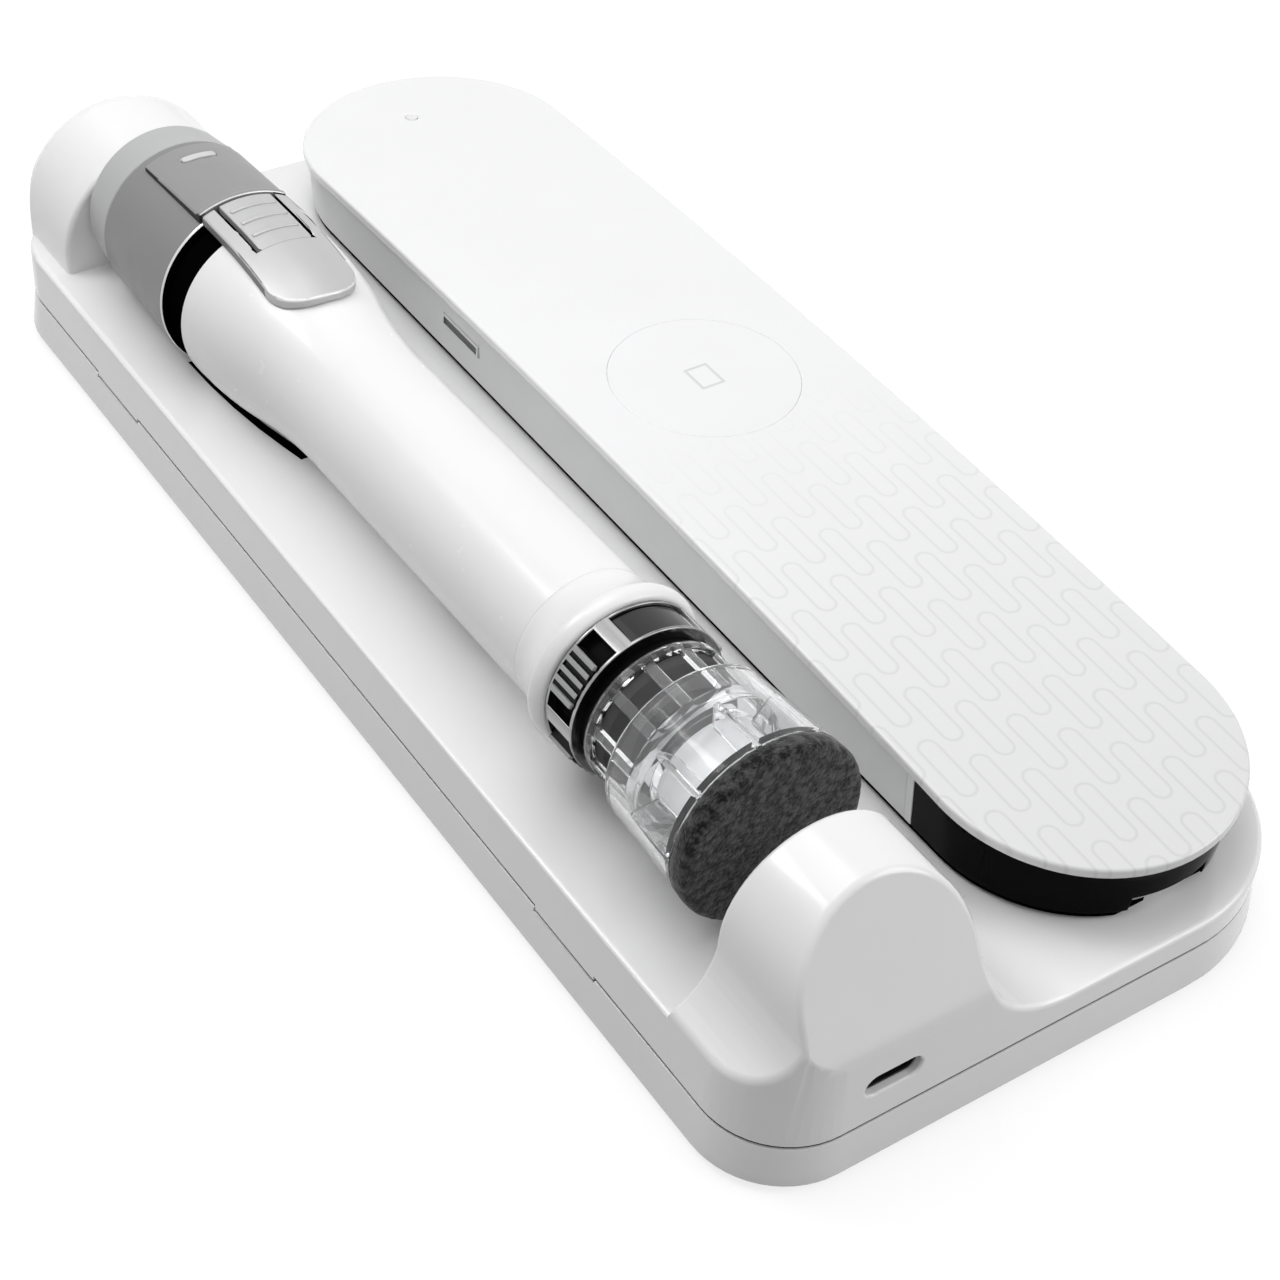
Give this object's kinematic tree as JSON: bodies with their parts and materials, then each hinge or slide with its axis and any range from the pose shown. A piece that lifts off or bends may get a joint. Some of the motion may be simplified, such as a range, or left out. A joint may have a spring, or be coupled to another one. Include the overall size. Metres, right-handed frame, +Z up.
{
  "type": "whiteboard capture marker set in charging cradle",
  "caption": "White charging cradle holding a motion-tracked whiteboard-marker sleeve and a pill-shaped receiver bar side by side; both lift out, with press keys and sprung contacts.",
  "frame": {"origin": "centre of the cradle's footprint, on the plane that its feet stand on", "axes": "+Z up, +Y along the cradle from the inlet end to the far end, marker on the -X side and receiver on the +X side"},
  "size_m": [0.091, 0.2016, 0.0424],
  "materials": {
    "cradle_white": "gloss white",
    "base_white": "gloss white",
    "marker_white": "gloss white",
    "lid_white": "satin gloss white",
    "band_grey": "satin light grey",
    "strip_grey": "satin pale grey",
    "window_black": "gloss black",
    "ring_grey": "satin pale grey",
    "collar_grey": "satin dark grey",
    "panel_grey": "satin mid grey",
    "tongue_silver": "satin silver",
    "chrome": "polished",
    "clear": "clear moulded plastic",
    "cup_pale": "translucent pale grey",
    "felt": "mottled felt",
    "black_plastic": "satin black",
    "lamp": "diffuse white",
    "emitter": "dark tinted",
    "contact_gold": "gold plated",
    "steel": "plain",
    "foot_rubber": "matte",
    "board": "solder mask",
    "cell": "wrapped",
    "pen_body": "gloss ivory",
    "nib": "ink-soaked fibre"
  },
  "bodies": {
    "cradle": {"cradle_top_shell": "cradle_white", "cradle_bottom_shell": "base_white", "cradle_feet": "foot_rubber", "cradle_screws": "steel", "cradle_board": "board", "inlet_board": "board", "inlet_socket": "steel", "inlet_tongue": "black_plastic", "bed_contact_block": "black_plastic", "post_contact_block": "black_plastic", "marker_saddle": "foot_rubber"},
    "bed_pins": {"bed_pins": "contact_gold"},
    "post_pins": {"post_pins": "contact_gold"},
    "marker": {"marker_barrel": "marker_white", "front_ring": "marker_white", "chrome_collar": "chrome", "sensor_cage": "black_plastic", "emitters": "emitter", "nose_guard": "clear", "gap_ring": "black_plastic", "rear_collar": "collar_grey", "collar_panel": "panel_grey", "status_light": "lamp", "end_ring": "ring_grey", "end_contacts": "contact_gold", "tongue": "tongue_silver", "marker_battery": "cell", "marker_board": "board", "tip_switch": "black_plastic"},
    "release_tab": {"release_tab": "tongue_silver"},
    "ink_marker": {"ink_barrel": "pen_body", "ink_neck": "black_plastic", "ink_nib": "nib"},
    "cap": {"clear_cap": "clear", "cap_cup": "cup_pale", "felt_pad": "felt"},
    "receiver": {"receiver_lid": "lid_white", "side_band": "band_grey", "divider_strip": "strip_grey", "end_window": "window_black", "receiver_tray": "strip_grey", "receiver_pads": "foot_rubber", "receiver_screws": "steel", "receiver_board": "board", "receiver_battery": "cell", "receiver_magnets": "steel", "receiver_contacts": "contact_gold", "optical_sensors": "emitter", "microphones": "steel", "button_switch": "black_plastic", "key_switch": "black_plastic", "lid_light": "lamp"},
    "page_button": {"page_button": "lid_white"},
    "side_key": {"side_key": "band_grey"}
  },
  "joints": [
    {"name": "marker_lift", "type": "slide", "parent": "cradle", "child": "marker", "axis": [0, 0, 1], "range_m": [0, 0.045]},
    {"name": "receiver_lift", "type": "slide", "parent": "cradle", "child": "receiver", "axis": [0, 0, 1], "range_m": [0, 0.03]},
    {"name": "cap_pull", "type": "slide", "parent": "marker", "child": "cap", "axis": [0, -0.9996, 0.0297], "range_m": [0, 0.005]},
    {"name": "nib_press", "type": "slide", "parent": "marker", "child": "ink_marker", "axis": [0, 0.9996, -0.0297], "range_m": [0, 0.0006], "stiffness_N_per_m": 2000},
    {"name": "tab_press", "type": "hinge", "parent": "marker", "child": "release_tab", "pos_m": [-0.02622, 0.04277, 0.03981], "axis": [-0.9994, 0.001, 0.0349], "range_deg": [0, 4], "stiffness_Nm_per_rad": 0.5},
    {"name": "page_press", "type": "slide", "parent": "receiver", "child": "page_button", "axis": [0, 0, -1], "range_m": [0, 0.0006], "stiffness_N_per_m": 2000},
    {"name": "key_press", "type": "slide", "parent": "receiver", "child": "side_key", "axis": [1, 0, 0], "range_m": [0, 0.0004], "stiffness_N_per_m": 2000},
    {"name": "bed_pin_press", "type": "slide", "parent": "cradle", "child": "bed_pins", "axis": [0, 0, -1], "range_m": [0, 0.0008], "stiffness_N_per_m": 600},
    {"name": "post_pin_press", "type": "slide", "parent": "cradle", "child": "post_pins", "axis": [0, 1, 0], "range_m": [0, 0.0008], "stiffness_N_per_m": 600}
  ]
}
